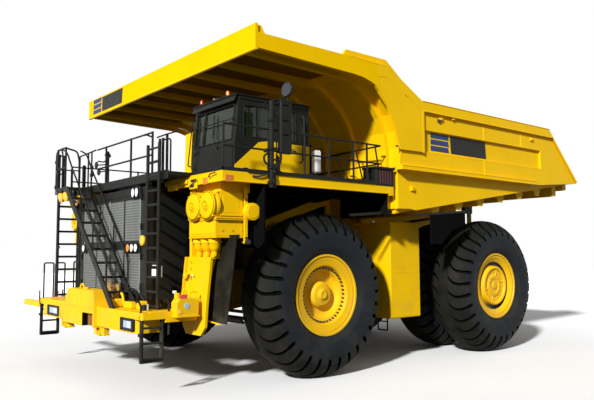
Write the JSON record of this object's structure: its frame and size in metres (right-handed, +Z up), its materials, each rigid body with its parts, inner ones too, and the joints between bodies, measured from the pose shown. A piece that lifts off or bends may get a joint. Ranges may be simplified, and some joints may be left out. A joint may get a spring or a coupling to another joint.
{
  "type": "mining dump truck",
  "caption": "Rigid mining dump truck with a sloping open load body, canopy over an offset cab, steered front wheels, dual rear wheels and telescopic hoists.",
  "frame": {"origin": "on the ground, below the middle of the overall length, on the centreline", "axes": "-Y towards the nose, +Y towards the tail, +X to the truck's left, +Z up"},
  "size_m": [8.74, 14.62, 7.45],
  "materials": {
    "body_yellow": "gloss",
    "black_paint": "satin",
    "dark_steel": "matte",
    "tyre_rubber": "matte",
    "rim_paint": "satin",
    "window_glass": "gloss",
    "cylinder_steel": "satin",
    "seat_cover": "matte"
  },
  "bodies": {
    "chassis": {"main_frame": "body_yellow", "engine_block": "dark_steel", "front_bumper": "body_yellow", "radiator_shell": "black_paint", "radiator_core": "dark_steel", "radiator_grille": "black_paint", "deck_uprights": "body_yellow", "side_decks": "body_yellow", "centre_deck": "black_paint", "air_cleaners": "body_yellow", "front_struts": "cylinder_steel", "rear_axle": "body_yellow", "rear_struts": "cylinder_steel", "fuel_tank": "body_yellow", "hydraulic_tank": "body_yellow", "control_cabinet": "body_yellow", "cab_shell": "black_paint", "cab_windows": "window_glass", "cab_seats": "seat_cover", "cab_console": "dark_steel", "access_stair": "black_paint", "vertical_ladders": "black_paint", "lower_ladders": "black_paint", "handrails": "black_paint", "mirror_posts": "black_paint", "steer_barrel_left": "body_yellow", "steer_barrel_right": "body_yellow"},
    "cab_door": {"cab_door": "black_paint", "door_glass": "window_glass"},
    "dump_body": {"body_floor": "body_yellow", "body_sides": "body_yellow", "body_front_wall": "body_yellow", "body_canopy": "body_yellow"},
    "knuckle_left": {"knuckle_left": "body_yellow"},
    "front_wheel_left": {"front_rim_left": "rim_paint", "front_tyre_left": "tyre_rubber"},
    "rear_wheels_left": {"rear_rims_left": "rim_paint", "rear_tyres_left": "tyre_rubber"},
    "steer_rod_left": {"steer_rod_left": "cylinder_steel"},
    "hoist_barrel_left": {"hoist_barrel_left": "body_yellow"},
    "hoist_stage_left": {"hoist_stage_left": "cylinder_steel"},
    "hoist_rod_left": {"hoist_rod_left": "cylinder_steel"},
    "knuckle_right": {"knuckle_right": "body_yellow"},
    "front_wheel_right": {"front_rim_right": "rim_paint", "front_tyre_right": "tyre_rubber"},
    "rear_wheels_right": {"rear_rims_right": "rim_paint", "rear_tyres_right": "tyre_rubber"},
    "steer_rod_right": {"steer_rod_right": "cylinder_steel"},
    "hoist_barrel_right": {"hoist_barrel_right": "body_yellow"},
    "hoist_stage_right": {"hoist_stage_right": "cylinder_steel"},
    "hoist_rod_right": {"hoist_rod_right": "cylinder_steel"},
    "tie_rod": {"tie_rod": "dark_steel"}
  },
  "joints": [
    {"name": "bed_tip", "type": "hinge", "parent": "chassis", "child": "dump_body", "pos_m": [0, 4.79, 3.03], "axis": [-1, 0, 0], "range_deg": [0, 45]},
    {"name": "cab_door_hinge", "type": "hinge", "parent": "chassis", "child": "cab_door", "pos_m": [3.53, -4.31, 5.3], "axis": [0, 0, -1], "range_deg": [0, 65]},
    {"name": "steer_left", "type": "hinge", "parent": "chassis", "child": "knuckle_left", "pos_m": [2, -3.06, 1.867], "axis": [0, 0, 1], "range_deg": [-38, 38]},
    {"name": "front_wheel_spin_left", "type": "hinge", "parent": "knuckle_left", "child": "front_wheel_left", "pos_m": [3.27, -3.06, 1.867], "axis": [1, 0, 0], "continuous": true},
    {"name": "rear_wheel_spin_left", "type": "hinge", "parent": "chassis", "child": "rear_wheels_left", "pos_m": [2.67, 3.29, 1.867], "axis": [1, 0, 0], "continuous": true},
    {"name": "steer_rod_slide_left", "type": "slide", "parent": "chassis", "child": "steer_rod_left", "axis": [1, 0, 0], "range_m": [-0.432, 0.432]},
    {"name": "hoist_swing_left", "type": "hinge", "parent": "chassis", "child": "hoist_barrel_left", "pos_m": [1.25, 0.99, 1.75], "axis": [-1, 0, 0], "range_deg": [0, 27.96]},
    {"name": "hoist_stage_slide_left", "type": "slide", "parent": "hoist_barrel_left", "child": "hoist_stage_left", "axis": [0, -0.2227, 0.9749], "range_m": [0, 1.4614]},
    {"name": "hoist_rod_slide_left", "type": "slide", "parent": "hoist_stage_left", "child": "hoist_rod_left", "axis": [0, -0.2227, 0.9749], "range_m": [0, 1.4614]},
    {"name": "steer_right", "type": "hinge", "parent": "chassis", "child": "knuckle_right", "pos_m": [-2, -3.06, 1.867], "axis": [0, 0, 1], "range_deg": [-38, 38]},
    {"name": "front_wheel_spin_right", "type": "hinge", "parent": "knuckle_right", "child": "front_wheel_right", "pos_m": [-3.27, -3.06, 1.867], "axis": [1, 0, 0], "continuous": true},
    {"name": "rear_wheel_spin_right", "type": "hinge", "parent": "chassis", "child": "rear_wheels_right", "pos_m": [-2.67, 3.29, 1.867], "axis": [1, 0, 0], "continuous": true},
    {"name": "steer_rod_slide_right", "type": "slide", "parent": "chassis", "child": "steer_rod_right", "axis": [1, 0, 0], "range_m": [-0.432, 0.432]},
    {"name": "hoist_swing_right", "type": "hinge", "parent": "chassis", "child": "hoist_barrel_right", "pos_m": [-1.25, 0.99, 1.75], "axis": [-1, 0, 0], "range_deg": [0, 27.96]},
    {"name": "hoist_stage_slide_right", "type": "slide", "parent": "hoist_barrel_right", "child": "hoist_stage_right", "axis": [0, -0.2227, 0.9749], "range_m": [0, 1.4614]},
    {"name": "hoist_rod_slide_right", "type": "slide", "parent": "hoist_stage_right", "child": "hoist_rod_right", "axis": [0, -0.2227, 0.9749], "range_m": [0, 1.4614]},
    {"name": "tie_rod_hinge", "type": "hinge", "parent": "knuckle_left", "child": "tie_rod", "pos_m": [2, -2.36, 1.16], "axis": [0, 0, 1], "range_deg": [-38, 38]}
  ],
  "couplings": [
    {"joint": "steer_rod_slide_left", "follows": "steer_left", "m_per_rad": 0.65},
    {"joint": "hoist_swing_left", "follows": "bed_tip", "ratio": 0.6202},
    {"joint": "hoist_stage_slide_left", "follows": "bed_tip", "m_per_rad": 1.86},
    {"joint": "hoist_rod_slide_left", "follows": "bed_tip", "m_per_rad": 1.86},
    {"joint": "steer_rod_slide_right", "follows": "steer_left", "m_per_rad": 0.65},
    {"joint": "hoist_swing_right", "follows": "bed_tip", "ratio": 0.6202},
    {"joint": "hoist_stage_slide_right", "follows": "bed_tip", "m_per_rad": 1.86},
    {"joint": "hoist_rod_slide_right", "follows": "bed_tip", "m_per_rad": 1.86},
    {"joint": "steer_right", "follows": "steer_left", "ratio": 1},
    {"joint": "tie_rod_hinge", "follows": "steer_left", "ratio": -1}
  ]
}
